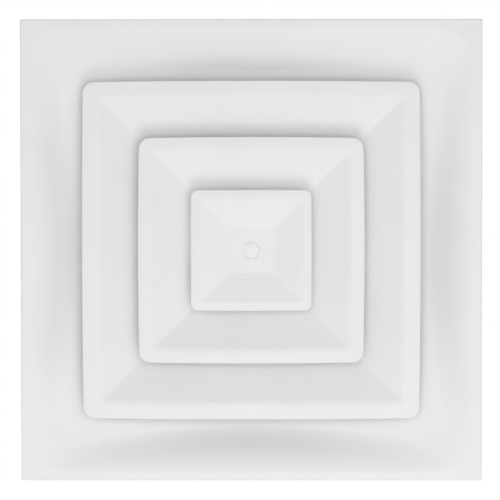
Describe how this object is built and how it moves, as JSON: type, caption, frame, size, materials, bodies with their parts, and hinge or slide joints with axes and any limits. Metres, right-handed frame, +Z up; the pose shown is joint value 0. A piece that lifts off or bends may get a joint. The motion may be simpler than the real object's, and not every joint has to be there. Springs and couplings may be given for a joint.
{
  "type": "ceiling air diffuser",
  "caption": "Square lay-in ceiling diffuser: flared white panel, nested cones on a pull-out core, round duct neck and a screw-worked butterfly damper behind a snap plug.",
  "frame": {"origin": "centre of the face plane: the underside of the panel's lip, in the middle of the panel", "axes": "+Z up through the duct neck; X and Y along the panel's sides; +X also along the damper's hinge rod"},
  "size_m": [0.603, 0.603, 0.1747],
  "materials": {
    "white_paint": "white powder coat on steel sheet",
    "white_plastic": "moulded white plastic",
    "zinc_steel": "galvanised steel sheet",
    "spring_steel": "spring steel, oiled",
    "rivets": "aluminium rivets",
    "bright_steel": "zinc plated steel",
    "brass": "turned brass"
  },
  "bodies": {
    "panel": {"back_pan": "white_paint", "neck_flange": "zinc_steel", "neck_collar": "zinc_steel", "collar_rivets": "rivets", "catch_clip_1": "spring_steel", "catch_clip_2": "spring_steel", "catch_clip_3": "spring_steel", "catch_clip_4": "spring_steel", "clip_rivets": "rivets", "hanger_tab_1": "zinc_steel", "hanger_tab_2": "zinc_steel", "hanger_tab_3": "zinc_steel", "hanger_tab_4": "zinc_steel", "tab_rivets": "rivets", "damper_ring": "zinc_steel", "hinge_rod": "bright_steel", "damper_crossbar": "zinc_steel", "crossbar_rivets": "rivets", "guide_posts": "bright_steel", "operator_bush": "brass"},
    "core": {"outer_cone": "white_paint", "middle_cone": "white_paint", "centre_cone": "white_paint", "hub_plate": "zinc_steel", "arm_1": "zinc_steel", "arm_2": "zinc_steel", "arm_3": "zinc_steel", "arm_4": "zinc_steel", "hub_rivets": "rivets", "centre_posts": "bright_steel", "post_nuts": "bright_steel", "middle_rivets": "rivets", "outer_rivets": "rivets"},
    "plug": {"access_plug": "white_plastic"},
    "blade_a": {"blade_a": "zinc_steel", "cam_brackets_a": "zinc_steel", "pivot_lugs_a": "zinc_steel", "blade_rivets_a": "rivets"},
    "blade_b": {"blade_b": "zinc_steel", "cam_brackets_b": "zinc_steel", "pivot_lugs_b": "zinc_steel", "blade_rivets_b": "rivets"},
    "yoke": {"lifter_yoke": "zinc_steel", "yoke_nut": "brass"},
    "screw": {"operator_screw": "bright_steel", "retaining_ring": "bright_steel"}
  },
  "joints": [
    {"name": "core_drop", "type": "slide", "parent": "panel", "child": "core", "axis": [0, 0, -1], "range_m": [0, 0.15]},
    {"name": "plug_pull", "type": "slide", "parent": "core", "child": "plug", "axis": [0, 0, -1], "range_m": [0, 0.03]},
    {"name": "blade_close", "type": "hinge", "parent": "panel", "child": "blade_a", "pos_m": [0, 0, 0.08008], "axis": [-1, 0, 0], "range_deg": [0, 78]},
    {"name": "blade_b_close", "type": "hinge", "parent": "panel", "child": "blade_b", "pos_m": [0, 0, 0.08008], "axis": [1, 0, 0], "range_deg": [0, 78.1]},
    {"name": "yoke_lower", "type": "slide", "parent": "panel", "child": "yoke", "axis": [0, 0, -1], "range_m": [0, 0.01365]},
    {"name": "screw_turn", "type": "hinge", "parent": "panel", "child": "screw", "pos_m": [0, 0, 0.05], "axis": [0, 0, 1], "range_deg": [0, 1260]}
  ],
  "couplings": [
    {"joint": "blade_b_close", "follows": "blade_close", "ratio": 1},
    {"joint": "yoke_lower", "follows": "blade_close", "m_per_rad": 0.01},
    {"joint": "screw_turn", "follows": "blade_close", "ratio": 15.708}
  ]
}
